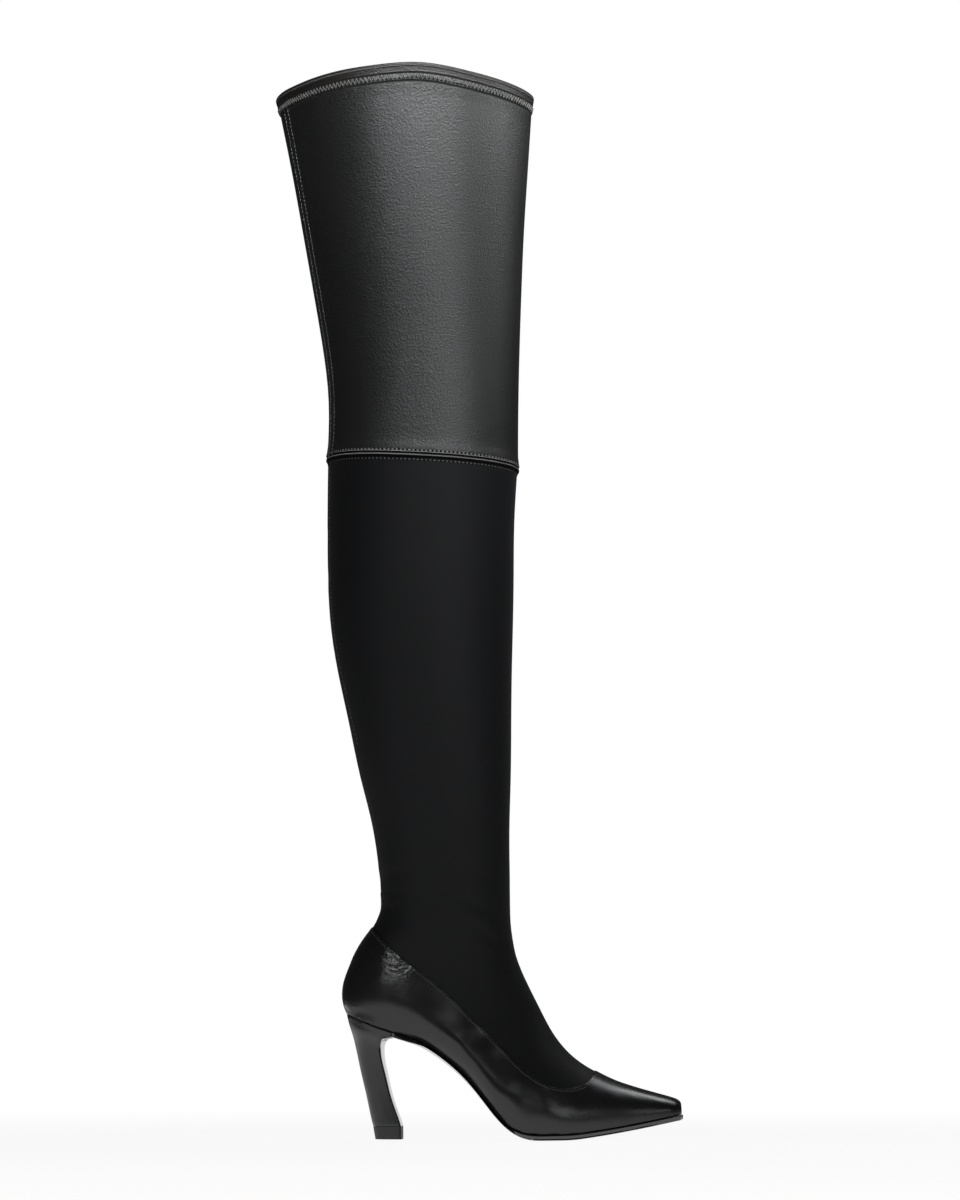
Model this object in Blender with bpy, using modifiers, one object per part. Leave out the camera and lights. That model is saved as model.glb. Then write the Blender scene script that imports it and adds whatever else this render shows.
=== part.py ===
# Thigh high boot, right shoe: last-shaped leather foot, stretch shaft, leather
# thigh panel with a hem, thin sole with a steep waist and a flared heel.
# Metres. +X to the toe, +Y to the inner side, +Z up, floor at Z = 0.
# The origin is the centre of the heel's top piece, on the floor.

import bmesh
import bpy
import numpy as np
from mathutils import Vector

# Lengths and heights along the foot
FOOT_LENGTH = 0.2408
HEEL_OVERHANG = 0.0340
HEEL_HEIGHT = 0.0844
TOE_SPRING = 0.0138
TOE_CURVE = 1.3
BALL_FLAT_START = 0.099
BALL_FLAT_END = 0.126
SOLE_THICKNESS = 0.0040
SOLE_EDGE = 0.0012
WAIST_BEVEL = 0.0028
TREAD_BEVEL = 0.0009
BEVEL_SHARE = 0.34

# Widths of the foot, outside of the upper
BALL_WIDTH = 0.0790
SIDE_BULGE = 0.0030
TOE_BULGE = 0.0009
BULGE_HEIGHT = 0.0220

# The leg
ANKLE_HEIGHT = 0.1790
KNEE_SEAM_HEIGHT = 0.4840
KNEE_SEAM_TILT = 0.0080
COLLAR_HEIGHT = 0.7646
LEG_DEPTH = 0.1400
LEG_WIDTH = 0.1120

# Walls, steps and clearance
UPPER_WALL = 0.0018
LOWER_WALL = 0.0014
THIGH_WALL = 0.0015
SHAFT_INSET = 0.0006
HEM_HEIGHT = 0.0105
HEM_STEP = 0.0008
INSOLE_THICKNESS = 0.0022
INSOLE_MARGIN = 0.0027
INSOLE_TOE_MARGIN = 0.0043
CLEARANCE = 0.0003
SEAM_GAP = 0.0005

# The heel
HEEL_SEAT_WIDTH = 0.0515
HEEL_FOOT_WIDTH = 0.0224
HEEL_FOOT_DEPTH = 0.0190
BREAST_FORWARD = 0.0032
CORNER_ROUNDING = 0.16
CORNER_START = 0.80
ROUND_BACK_END = 0.62
TOP_PIECE_HEIGHT = 0.0090

# Where the foot's upright sections take over from the leg's level ones, as
# shares of FOOT_LENGTH, and how far the change leans forward with height
FOOT_START = 0.36
FOOT_FULL = 0.56
FOOT_LEAN = 0.55
TOE_START = 0.62

# Where the bevelled waist of the sole changes to the flat tread, same shares
WAIST_END = 0.42
TREAD_START = 0.56
TOE_EDGE_START = 0.97

# Fullness of the sections: 2 is an ellipse, more is boxier
LEG_FULLNESS = 2.25
INSTEP_FULLNESS = 1.75
TOE_FULLNESS = 2.85
WIDEST_SHARE = 0.47

# Mesh density
HALF_SEGMENTS = 32
DENSE_SAMPLES = 401
HEEL_STATIONS = 12
FOOT_CROWDING = 0.55
LEG_CROWDING = 0.10
UPPER_RINGS = (0, 0.06, 0.105, 0.14, 0.18, 0.25, 0.34, 0.44, 0.55, 0.66, 0.77, 0.88, 0.988, 1)
ANKLE_RINGS = (0, 0.006, 0.07, 0.16, 0.27, 0.39, 0.52, 0.67, 0.83, 1)
LOWER_SHAFT_STEPS = 8
PANEL_RINGS = 7


def table(columns, *rows):
    """Columns of a hand-chosen table, each as an array under its name."""
    return {name: np.array([row[i] for row in rows]) for i, name in enumerate(columns)}


# Line under the arch: station as a share of FOOT_LENGTH behind the flat ball,
# height as a share of HEEL_HEIGHT.
ARCH = table(
    ("station", "height"),
    (0.000, 1.006), (0.020, 0.990), (0.055, 0.948), (0.120, 0.874), (0.190, 0.810),
    (0.230, 0.769), (0.272, 0.699), (0.334, 0.564), (0.371, 0.463), (0.408, 0.340),
    (0.444, 0.209), (0.470, 0.124), (0.495, 0.062), (0.520, 0.025), (0.547, 0.000),
)

# Feather line in plan: station as a share of FOOT_LENGTH, outer and inner half
# widths as shares of BALL_WIDTH.
FEATHER = table(
    ("station", "outer", "inner"),
    (0.015, 0.045, 0.045), (0.024, 0.145, 0.145), (0.045, 0.222, 0.222), (0.080, 0.286, 0.284),
    (0.120, 0.322, 0.316), (0.185, 0.330, 0.312), (0.265, 0.316, 0.272), (0.345, 0.322, 0.240),
    (0.430, 0.380, 0.262), (0.495, 0.440, 0.328), (0.555, 0.488, 0.402), (0.605, 0.504, 0.448),
    (0.660, 0.484, 0.464), (0.725, 0.428, 0.444), (0.790, 0.362, 0.396), (0.850, 0.300, 0.340),
    (0.905, 0.254, 0.284), (0.950, 0.220, 0.238), (0.978, 0.196, 0.206), (0.992, 0.168, 0.174),
    (0.998, 0.128, 0.132),
)

# Front line of the boot from the toe up to the ankle: height as a share of
# ANKLE_HEIGHT, distance from the back of the heel as a share of FOOT_LENGTH.
INSTEP = table(
    ("height", "reach"),
    (0.116, 1.0000), (0.140, 0.9990), (0.149, 0.9950), (0.157, 0.9880), (0.1650, 0.972),
    (0.175, 0.946), (0.191, 0.902), (0.2090, 0.856), (0.231, 0.808), (0.260, 0.762),
    (0.293, 0.717), (0.344, 0.670), (0.381, 0.646), (0.424, 0.623), (0.482, 0.600),
    (0.541, 0.577), (0.607, 0.553), (0.675, 0.530), (0.753, 0.512), (0.834, 0.503),
    (0.915, 0.501),
)

# Back line of the heel counter, same shares as the front line.
COUNTER = table(
    ("height", "reach"),
    (0.269, 0.0600), (0.404, 0.0340), (0.457, 0.0215), (0.492, 0.0140), (0.525, 0.0045),
    (0.565, 0.0000), (0.604, 0.0025), (0.643, 0.0105), (0.683, 0.0220), (0.724, 0.0345),
    (0.763, 0.0505), (0.802, 0.0700), (0.837, 0.0895), (0.872, 0.1030), (0.915, 0.1120),
)

# Half width of level slices through heel and ankle: height as a share of
# ANKLE_HEIGHT, half width as a share of LEG_WIDTH.
ANKLE = table(
    ("height", "half"),
    (0.170, 0.350), (0.384, 0.322), (0.512, 0.302), (0.682, 0.296), (0.832, 0.300),
)

# Leg sections above the ankle: height as a share of the way from ANKLE_HEIGHT to
# COLLAR_HEIGHT, back and front as shares of LEG_DEPTH from the heel's centre, half
# width as a share of LEG_WIDTH. Roundness 2 is an oval, less is a flattened tube.
LEG = table(
    ("height", "back", "front", "half", "roundness"),
    (0.001, -0.0535, 0.618, 0.298, 2.0), (0.046, -0.0750, 0.615, 0.312, 2.0),
    (0.143, -0.170, 0.624, 0.366, 2.0), (0.242, -0.257, 0.628, 0.428, 2.0),
    (0.293, -0.305, 0.632, 0.452, 2.0), (0.344, -0.325, 0.638, 0.470, 2.0),
    (0.445, -0.338, 0.643, 0.484, 2.0), (0.5245, -0.337, 0.660, 0.497, 1.95),
    (0.622, -0.332, 0.662, 0.512, 1.88), (0.673, -0.366, 0.669, 0.530, 1.82),
    (0.803, -0.462, 0.689, 0.598, 1.66), (0.933, -0.564, 0.723, 0.668, 1.52),
    (1.000, -0.624, 0.741, 0.700, 1.44),
)

# Topline of the pump in side view: reach as a share of FOOT_LENGTH, height as a
# share of ANKLE_HEIGHT. The first and last rows lie on the outline itself.
TOPLINE = table(
    ("reach", "height"),
    (0.0880, 0.833), (0.1266, 0.778), (0.1695, 0.722), (0.2228, 0.668), (0.2724, 0.619),
    (0.3363, 0.5435), (0.3900, 0.472), (0.4500, 0.393), (0.4983, 0.327), (0.5421, 0.2705),
    (0.5861, 0.2285), (0.6323, 0.2035), (0.6723, 0.198), (0.7123, 0.210), (0.7351, 0.2325),
    (0.7440, 0.253), (0.7490, 0.269),
)

# Line of the collar: share of the way from back to front, drop below
# COLLAR_HEIGHT as a share of HEM_HEIGHT.
COLLAR = table(
    ("share", "drop"),
    (0.00, 0.25), (0.12, 0.44), (0.35, 0.27), (0.58, 0.00), (0.81, 0.29), (0.92, 0.34), (1.00, 0.31),
)

# Heel block: level from its foot to the seat, back and front in side view as
# shares of FOOT_LENGTH from the origin, half width between foot and seat.
HEEL_BLOCK = table(
    ("level", "back", "front", "spread"),
    (0.00, -0.0462, 0.0385, 0.00), (0.10, -0.0540, 0.0300, -0.015), (0.30, -0.0672, 0.0099, -0.015),
    (0.50, -0.0825, -0.0041, 0.06), (0.65, -0.0930, -0.0150, 0.17), (0.74, -0.1000, -0.0190, 0.29),
    (0.81, -0.1058, -0.0195, 0.44), (0.87, -0.1115, -0.0165, 0.62), (0.91, -0.1150, -0.0070, 0.78),
    (0.945, -0.1185, 0.0120, 0.90), (1.00, -0.1243, 0.0120, 1.00),
)

X_BACK = -HEEL_OVERHANG
X_TOE = X_BACK + FOOT_LENGTH


def smooth(x, xs, ys):
    """Monotone cubic through a table's rows, flat beyond its ends."""
    x = np.clip(np.asarray(x, float), xs[0], xs[-1])
    step = np.diff(xs)
    slope = np.diff(ys) / step
    tangent = np.zeros(len(xs))
    tangent[0], tangent[-1] = slope[0], slope[-1]
    for i in range(1, len(xs) - 1):
        if slope[i - 1] * slope[i] > 0:
            near, far = 2 * step[i] + step[i - 1], step[i] + 2 * step[i - 1]
            tangent[i] = (near + far) / (near / slope[i - 1] + far / slope[i])
    k = np.clip(np.searchsorted(xs, x, side="right") - 1, 0, len(xs) - 2)
    t = (x - xs[k]) / step[k]
    return (ys[k] * (1 + 2 * t) * (1 - t) ** 2 + tangent[k] * step[k] * t * (1 - t) ** 2
            + ys[k + 1] * t * t * (3 - 2 * t) + tangent[k + 1] * step[k] * t * t * (t - 1))


def ease(x, start, end):
    """Smooth step from 0 at start to 1 at end."""
    t = np.clip((x - start) / (end - start), 0, 1)
    return t * t * (3 - 2 * t)


def treadHeight(x):
    """Height of the sole's underside along the foot: arch, flat ball, toe spring."""
    x = np.asarray(x, float)
    behind = (BALL_FLAT_START - X_BACK) / ARCH["station"][-1]
    arch = smooth((x - X_BACK) / behind, ARCH["station"], ARCH["height"]) * HEEL_HEIGHT
    rise = np.clip((x - BALL_FLAT_END) / (X_TOE - BALL_FLAT_END), 0, None) ** TOE_CURVE * TOE_SPRING
    return np.where(x < BALL_FLAT_START, arch, rise)


def featherHeight(x):
    return treadHeight(x) + SOLE_THICKNESS


def featherHalf(x, side):
    station = (np.asarray(x, float) - X_BACK) / FOOT_LENGTH
    return smooth(station, FEATHER["station"], FEATHER[side]) * BALL_WIDTH


LEG_Z = ANKLE_HEIGHT + LEG["height"] * (COLLAR_HEIGHT - ANKLE_HEIGHT)
FRONT_Z = np.concatenate([INSTEP["height"] * ANKLE_HEIGHT, LEG_Z])
FRONT_X = np.concatenate([X_BACK + INSTEP["reach"] * FOOT_LENGTH, LEG["front"] * LEG_DEPTH])
BACK_Z = np.concatenate([COUNTER["height"] * ANKLE_HEIGHT, LEG_Z])
BACK_X = np.concatenate([X_BACK + COUNTER["reach"] * FOOT_LENGTH, LEG["back"] * LEG_DEPTH])
HALF_Z = np.concatenate([ANKLE["height"] * ANKLE_HEIGHT, LEG_Z])
HALF_Y = np.concatenate([ANKLE["half"], LEG["half"]]) * LEG_WIDTH


def frontX(z):
    return smooth(z, FRONT_Z, FRONT_X)


def backX(z):
    return smooth(z, BACK_Z, BACK_X)


RIDGE_Z = np.linspace(FRONT_Z[0], ANKLE_HEIGHT, 600)[::-1]
RIDGE_X = np.maximum.accumulate(frontX(RIDGE_Z))


def ridgeHeight(x):
    """Height of the front line over a station of the foot."""
    return np.interp(x, RIDGE_X, RIDGE_Z)


def arch(t, fullness, roundness):
    return (1 - np.clip(t, 0, 1) ** fullness) ** (1 / roundness)


def levelHalf(x, z):
    """Half width where a level slice through the leg passes x."""
    back, front = backX(z), frontX(z)
    middle = back + WIDEST_SHARE * (front - back)
    t = np.where(x < middle, (middle - x) / (middle - back), (x - middle) / (front - middle))
    return smooth(z, HALF_Z, HALF_Y) * arch(t, LEG_FULLNESS, smooth(z, LEG_Z, LEG["roundness"]))


def crossHalf(x, z, side):
    """Half width where an upright cross section of the foot passes z."""
    base = featherHeight(x)
    share = (z - base) / np.maximum(ridgeHeight(x) - base, 1e-4)
    toeward = ease(x, X_BACK + TOE_START * FOOT_LENGTH, X_TOE)
    widest = featherHalf(x, side) + SIDE_BULGE + (TOE_BULGE - SIDE_BULGE) * toeward
    return widest * arch(share, INSTEP_FULLNESS + (TOE_FULLNESS - INSTEP_FULLNESS) * toeward, 2.0)


def halfWidth(x, z, side):
    """Half width of the boot's outer form at a point of its side view."""
    x, z = np.asarray(x, float), np.asarray(z, float)

    def envelope(height):
        place = (x - X_BACK - FOOT_LEAN * height) / FOOT_LENGTH
        foot = ease(place, FOOT_START, FOOT_FULL)
        return (1 - foot) * levelHalf(x, height) + foot * crossHalf(x, height, side)

    base = featherHeight(x)
    drawn_in = 1 - featherHalf(x, side) / np.maximum(envelope(base), 1e-4)
    rise = np.clip((z - base) / BULGE_HEIGHT, 0, 1)
    return envelope(z) * (1 - np.clip(drawn_in, -0.6, 0.7) * (1 - rise) ** 2)


def patchLine(u, v, bottom, top, left, right):
    """Side view line at share v between two lines, with its ends at two points."""
    corner = ((1 - u) * (1 - v))[:, None] * bottom[0] + (u * (1 - v))[:, None] * bottom[-1]
    corner = corner + ((1 - u) * v)[:, None] * top[0] + (u * v)[:, None] * top[-1]
    across = (1 - v) * bottom + v * top
    along = (1 - u)[:, None] * left + u[:, None] * right
    return across + along - corner


def ringShares(line, crowding):
    """Where a ring has its points: even steps around, closer at heel and toe."""
    x, z = line[:, 0], line[:, 1]
    half = (halfWidth(x, z, "outer") + halfWidth(x, z, "inner")) / 2
    half[0] = 0
    path = np.stack([x, half, z], 1)
    path = np.vstack([path, [x[-1], 0, z[-1]]])
    length = np.concatenate([[0], np.cumsum(np.linalg.norm(np.diff(path, axis=0), axis=1))])
    t = np.linspace(0, 1, HALF_SEGMENTS + 1)
    share = t - crowding * np.sin(2 * np.pi * t) / (2 * np.pi)
    return np.interp(share * length[-1], length, np.arange(len(length)))


def closedRing(line, crowding):
    """Closed ring around the boot. Both sides share their places in side view."""
    x, z = line[:, 0], line[:, 1]
    at = ringShares(line, crowding)
    steps = np.arange(len(x) + 1)
    sides = []
    for side, sign in (("outer", -1), ("inner", 1)):
        y = sign * halfWidth(x, z, side)
        y[0] = 0
        path = np.stack([np.append(x, x[-1]), np.append(y, 0), np.append(z, z[-1])], 1)
        sides.append(np.stack([np.interp(at, steps, path[:, i]) for i in range(3)], 1))
    outer, inner = sides
    return np.vstack([outer, inner[-2:0:-1]])


def sideShare():
    """Dense shares from back to front, closer at both ends."""
    return (1 - np.cos(np.linspace(0, np.pi, DENSE_SAMPLES))) / 2


def featherLine(u):
    x = X_BACK + (FEATHER["station"][0] * (1 - u) + FEATHER["station"][-1] * u) * FOOT_LENGTH
    z = featherHeight(x)
    x[0] = backX(z[0])
    return np.stack([x, z], 1)


def topLine(u, above=0.0):
    """The pump's topline in side view, or a line a little above it."""
    reach = TOPLINE["reach"][0] * (1 - u) + TOPLINE["reach"][-1] * u
    x = X_BACK + reach * FOOT_LENGTH
    z = smooth(reach, TOPLINE["reach"], TOPLINE["height"]) * ANKLE_HEIGHT
    dx, dz = np.gradient(x), np.gradient(z)
    length = np.hypot(dx, dz)
    x, z = x - above * dz / length, z + above * dx / length
    x[0], x[-1] = backX(z[0]), frontX(z[-1])
    return np.stack([x, z], 1)


def legLine(u, z, tilt=0.0, dip=0.0):
    """Line across the leg, its back end higher by the tilt. A dip of 1 gives it
    the whole curve of the collar."""
    drop = dip * HEM_HEIGHT * smooth(u, COLLAR["share"], COLLAR["drop"])
    height = z + tilt * (0.5 - u) - drop
    back, front = backX(height[0]), frontX(height[-1])
    return np.stack([back + (front - back) * u, height], 1)


def alongFront(z_low, z_high, share):
    """Point on the front line, at a share of its length between two heights."""
    z = np.linspace(z_low, z_high, 300)
    x = frontX(z)
    length = np.concatenate([[0], np.cumsum(np.hypot(np.diff(x), np.diff(z)))])
    return np.array([np.interp(share * length[-1], length, x),
                     np.interp(share * length[-1], length, z)])


def alongBack(z_low, z_high, share):
    z = z_low + (z_high - z_low) * share
    return np.array([float(backX(z)), z])


def patchRings(bottom, top, shares, crowding):
    """Rings between two side view lines, ends kept on the boot's outline."""
    u = sideShare()
    rings = []
    for v, crowd in zip(shares, crowding):
        left = alongBack(bottom[0, 1], top[0, 1], v)
        right = alongFront(bottom[-1, 1], top[-1, 1], v)
        rings.append(closedRing(patchLine(u, v, bottom, top, left, right), crowd))
    return rings


def shifted(ring, distance):
    """A ring moved inward by a distance along the outer form's own normals."""
    step = 0.2 * SHAFT_INSET
    moved = ring.copy()
    half = len(ring) // 2
    for rows, side, sign in ((slice(1, half), "outer", -1), (slice(half + 1, None), "inner", 1)):
        x, z = ring[rows, 0], ring[rows, 2]
        slope_x = (halfWidth(x + step, z, side) - halfWidth(x - step, z, side)) / (2 * step)
        slope_z = (halfWidth(x, z + step, side) - halfWidth(x, z - step, side)) / (2 * step)
        normal = np.stack([-slope_x, np.full_like(x, sign), -slope_z], 1)
        normal /= np.linalg.norm(normal, axis=1, keepdims=True)
        moved[rows] -= distance * normal
    for end in (0, half):
        beside = moved[end - 1] + moved[(end + 1) % len(ring)]
        before = ring[end - 1] + ring[(end + 1) % len(ring)]
        moved[end] += (beside - before) / 2
        moved[end, 1] = 0
    return moved


def clearScene():
    for old in list(bpy.data.objects):
        bpy.data.objects.remove(old, do_unlink=True)


def material(name, colour, roughness, coat=0.0):
    made = bpy.data.materials.new(name)
    made.use_nodes = True
    shader = made.node_tree.nodes["Principled BSDF"]
    shader.inputs["Base Color"].default_value = (*colour, 1)
    shader.inputs["Roughness"].default_value = roughness
    shader.inputs["Coat Weight"].default_value = coat
    made.diffuse_color = (*colour, 1)
    return made


def addObject(name, mesh, surface, collection):
    piece = bpy.data.objects.new(name, mesh)
    mesh.materials.append(surface)
    mesh.shade_smooth()
    mesh.set_sharp_from_angle(angle=np.radians(38))
    collection.objects.link(piece)
    return piece


def loftedShell(name, rings, wall, surface, collection):
    """Open shell through closed rings, thickened inward by a Solidify."""
    shell = bmesh.new()
    rows = [[shell.verts.new(Vector(point)) for point in ring] for ring in rings]
    count = len(rows[0])
    for low, high in zip(rows, rows[1:]):
        for i in range(count):
            j = (i + 1) % count
            shell.faces.new((low[i], low[j], high[j], high[i]))
    mesh = bpy.data.meshes.new(name)
    shell.to_mesh(mesh)
    shell.free()
    piece = addObject(name, mesh, surface, collection)
    thicken = piece.modifiers.new("wall", "SOLIDIFY")
    thicken.thickness = wall
    thicken.offset = -1
    thicken.use_even_offset = True
    return piece


def platedSolid(name, layers, surface, collection):
    """Closed solid through layers from the bottom up. A layer has a row for each
    station: x, outer half width, inner half width, z. Top and bottom are rungs
    from side to side."""
    solid = bmesh.new()
    rows = []
    for x, outer, inner, z in layers:
        near = [solid.verts.new((a, -b, c)) for a, b, c in zip(x, outer, z)]
        far = [solid.verts.new((a, b, c)) for a, b, c in zip(x, inner, z)]
        rows.append((near, far))
    for (near, far), (near_up, far_up) in zip(rows, rows[1:]):
        loop, loop_up = near + far[::-1], near_up + far_up[::-1]
        for i in range(len(loop)):
            j = (i + 1) % len(loop)
            solid.faces.new((loop[i], loop[j], loop_up[j], loop_up[i]))
    for (near, far), upward in ((rows[0], False), (rows[-1], True)):
        for i in range(len(near) - 1):
            rung = (near[i], near[i + 1], far[i + 1], far[i])
            solid.faces.new(rung if upward else rung[::-1])
    mesh = bpy.data.meshes.new(name)
    solid.to_mesh(mesh)
    solid.free()
    return addObject(name, mesh, surface, collection)


def buildUpper(surface, collection):
    u = sideShare()
    crowding = np.full(len(UPPER_RINGS), FOOT_CROWDING)
    rings = patchRings(featherLine(u), topLine(u), UPPER_RINGS, crowding)
    return loftedShell("upper", rings, UPPER_WALL, surface, collection)


def buildLowerShaft(surface, collection):
    u = sideShare()
    crowding = FOOT_CROWDING + (LEG_CROWDING - FOOT_CROWDING) * np.array(ANKLE_RINGS)
    rings = patchRings(topLine(u, SEAM_GAP), legLine(u, ANKLE_HEIGHT), ANKLE_RINGS, crowding)
    for share in np.linspace(0, 1, LOWER_SHAFT_STEPS + 1)[1:]:
        height = ANKLE_HEIGHT + (KNEE_SEAM_HEIGHT - CLEARANCE - ANKLE_HEIGHT) * share
        rings.append(closedRing(legLine(u, height, KNEE_SEAM_TILT * share), LEG_CROWDING))
    rings = [shifted(ring, SHAFT_INSET) for ring in rings]
    return loftedShell("shaft_lower", rings, LOWER_WALL, surface, collection)


def buildUpperShaft(surface, collection):
    u = sideShare()
    hem = COLLAR_HEIGHT - HEM_HEIGHT
    rings = []
    for height in np.linspace(KNEE_SEAM_HEIGHT, hem - HEM_STEP, PANEL_RINGS):
        share = (height - KNEE_SEAM_HEIGHT) / (hem - KNEE_SEAM_HEIGHT)
        line = legLine(u, height, KNEE_SEAM_TILT * (1 - share), share ** 3)
        rings.append(closedRing(line, LEG_CROWDING))
    band = ((hem, HEM_STEP), (COLLAR_HEIGHT - HEM_STEP, HEM_STEP), (COLLAR_HEIGHT, HEM_STEP / 2))
    for height, proud in band:
        ring = closedRing(legLine(u, height, dip=1.0), LEG_CROWDING)
        rings.append(shifted(ring, -proud))
    return loftedShell("shaft_upper", rings, THIGH_WALL, surface, collection)


def footStations(first, last):
    """The upper's own stations along the feather line, between two ends."""
    line = featherLine(sideShare())
    at = ringShares(line, FOOT_CROWDING)
    x = np.interp(at, np.arange(len(line)), line[:, 0])
    spare = 0.2 * (x[1] - x[0])
    inside = x[(x > first + spare) & (x < last - spare)]
    return np.concatenate([[first], inside, [last]])


def buildOutsole(surface, collection):
    x = footStations(BREAST_FORWARD + CLEARANCE, X_TOE - CLEARANCE)
    forward = ease(x, X_BACK + WAIST_END * FOOT_LENGTH, X_BACK + TREAD_START * FOOT_LENGTH)
    toeward = ease(x, X_BACK + TOE_EDGE_START * FOOT_LENGTH, X_TOE)
    edge = SOLE_EDGE * forward
    bevel = WAIST_BEVEL + (TREAD_BEVEL - WAIST_BEVEL) * forward
    outer, inner = featherHalf(x, "outer"), featherHalf(x, "inner")
    bottom, top = treadHeight(x), featherHeight(x) - CLEARANCE
    reach = x + SOLE_EDGE * toeward
    layers = (
        (reach - TREAD_BEVEL * toeward, outer + edge - bevel, inner + edge - bevel, bottom),
        (reach, outer + edge, inner + edge, bottom + BEVEL_SHARE * (top - bottom)),
        (reach, outer + edge, inner + edge, top),
    )
    return platedSolid("outsole", layers, surface, collection)


def buildInsole(surface, collection):
    start = X_BACK + FEATHER["station"][1] * FOOT_LENGTH + INSOLE_MARGIN
    x = footStations(start, X_TOE - INSOLE_TOE_MARGIN)
    middle = X_BACK + FOOT_LENGTH / 2
    plan = middle + (x - middle) * (1 + 2.2 * INSOLE_MARGIN / FOOT_LENGTH)
    outer = featherHalf(plan, "outer") - INSOLE_MARGIN
    inner = featherHalf(plan, "inner") - INSOLE_MARGIN
    base = featherHeight(x)
    layers = (
        (x, outer, inner, base),
        (x, outer, inner, base + INSOLE_THICKNESS),
    )
    return platedSolid("insole", layers, surface, collection)


def heelLayer(level, back, front, spread, z_low):
    """Rows of one level of the heel: round at the back, nearly flat in front."""
    t = (1 - np.cos(np.linspace(0.16, np.pi - 0.02, HEEL_STATIONS))) / 2
    x = back + (front - back) * (t - t[0]) / (t[-1] - t[0])
    round_back = arch(1 - t / ROUND_BACK_END, 2.2, 2.1)
    corner = CORNER_ROUNDING * (1 - ease(level, CORNER_START, 0.93))
    round_front = 1 - corner * (1 - arch((t - CORNER_START) / (1 - CORNER_START), 3.2, 2.4))
    half = (HEEL_FOOT_WIDTH + (HEEL_SEAT_WIDTH - HEEL_FOOT_WIDTH) * spread) / 2
    width = half * round_back * round_front
    flush = ease(level, CORNER_START, 1)
    outer = width + (featherHalf(x, "outer") - width) * flush
    inner = width + (featherHalf(x, "inner") - width) * flush
    seat = featherHeight(x) - CLEARANCE
    return x, outer, inner, z_low + (seat - z_low) * level


def buildHeel(surface, collection):
    z_low = TOP_PIECE_HEIGHT + CLEARANCE
    layers = [
        heelLayer(level, back * FOOT_LENGTH, front * FOOT_LENGTH, spread, z_low)
        for level, back, front, spread in zip(*HEEL_BLOCK.values())
    ]
    return platedSolid("heel", layers, surface, collection)


def buildTopPiece(surface, collection):
    back, front = HEEL_BLOCK["back"][0] * FOOT_LENGTH, HEEL_BLOCK["front"][0] * FOOT_LENGTH
    x, outer, inner, _ = heelLayer(0, back, front, 0, 0)
    lean = (back + front) / 2 / TOP_PIECE_HEIGHT
    middle = (back + front) / 2
    grow = HEEL_FOOT_DEPTH / (front - back)
    layers = []
    for z in (0.0, TOP_PIECE_HEIGHT):
        share = z / TOP_PIECE_HEIGHT
        scale = grow + (1 - grow) * share
        centre = lean * z
        layers.append((centre + (x - middle) * scale, outer * scale, inner * scale, np.full_like(x, z)))
    return platedSolid("heel_top_piece", layers, surface, collection)


def main():
    clearScene()
    boot = bpy.data.collections.new("thigh_high_boot")
    bpy.context.scene.collection.children.link(boot)
    polished = material("polished leather", (0.021, 0.021, 0.023), 0.26, coat=0.35)
    grained = material("grained stretch leather", (0.030, 0.030, 0.030), 0.42)
    stretch = material("matt stretch fabric", (0.010, 0.011, 0.013), 0.86)
    covered = material("covered heel leather", (0.030, 0.030, 0.032), 0.34)
    sole = material("lacquered sole", (0.012, 0.012, 0.012), 0.22, coat=0.5)
    rubber = material("rubber top piece", (0.024, 0.024, 0.024), 0.62)
    sock = material("sock lining", (0.035, 0.034, 0.033), 0.70)
    buildUpper(polished, boot)
    buildLowerShaft(stretch, boot)
    buildUpperShaft(grained, boot)
    buildOutsole(sole, boot)
    buildInsole(sock, boot)
    buildHeel(covered, boot)
    buildTopPiece(rubber, boot)


main()
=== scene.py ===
import math
import bmesh
import bpy
import numpy as np
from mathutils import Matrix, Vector
from mathutils.bvhtree import BVHTree


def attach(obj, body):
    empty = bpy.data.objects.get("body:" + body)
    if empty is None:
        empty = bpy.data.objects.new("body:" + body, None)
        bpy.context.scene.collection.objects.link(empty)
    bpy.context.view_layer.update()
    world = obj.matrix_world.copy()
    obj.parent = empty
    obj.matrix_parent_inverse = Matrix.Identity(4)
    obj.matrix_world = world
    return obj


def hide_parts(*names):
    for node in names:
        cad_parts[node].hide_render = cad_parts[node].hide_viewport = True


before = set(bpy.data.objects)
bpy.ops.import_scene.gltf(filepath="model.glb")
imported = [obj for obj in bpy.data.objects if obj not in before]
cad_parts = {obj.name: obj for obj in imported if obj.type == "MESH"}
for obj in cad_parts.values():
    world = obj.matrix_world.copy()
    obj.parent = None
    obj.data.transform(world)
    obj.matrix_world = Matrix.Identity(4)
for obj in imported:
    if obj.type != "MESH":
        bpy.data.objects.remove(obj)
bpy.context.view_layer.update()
print("frame loaded:", ", ".join(sorted(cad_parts)))

# camera at the photo's place: a little toward the toe, low over the floor

view = {
    "place": (0.17963, -2.19698, 0.060),
    "aim": (0.0644916, 0.0, 0.3851823),
    "lens": 92.02,
    "sensor": 36.0,
}


def addCamera():
    bpy.ops.object.camera_add(location=view["place"])
    camera = bpy.context.object
    camera.name = "photoCamera"
    toward = Vector(view["aim"]) - Vector(view["place"])
    camera.rotation_euler = toward.to_track_quat("-Z", "Y").to_euler()
    camera.data.sensor_fit = "VERTICAL"
    camera.data.sensor_height = view["sensor"]
    camera.data.lens = view["lens"]
    camera.data.clip_end = 200
    bpy.context.scene.camera = camera


addCamera()

# general tools

weld = 0.00002  # merge distance for the CAD's loose triangles


def pick(piece):
    bpy.ops.object.select_all(action="DESELECT")
    piece.select_set(True)
    bpy.context.view_layer.objects.active = piece


def pointsOf(mesh):
    flat = np.zeros(len(mesh.vertices) * 3)
    mesh.vertices.foreach_get("co", flat)
    return flat.reshape(-1, 3)


def setPoints(mesh, points):
    mesh.vertices.foreach_set("co", np.ascontiguousarray(points, float).ravel())
    mesh.update()


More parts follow.
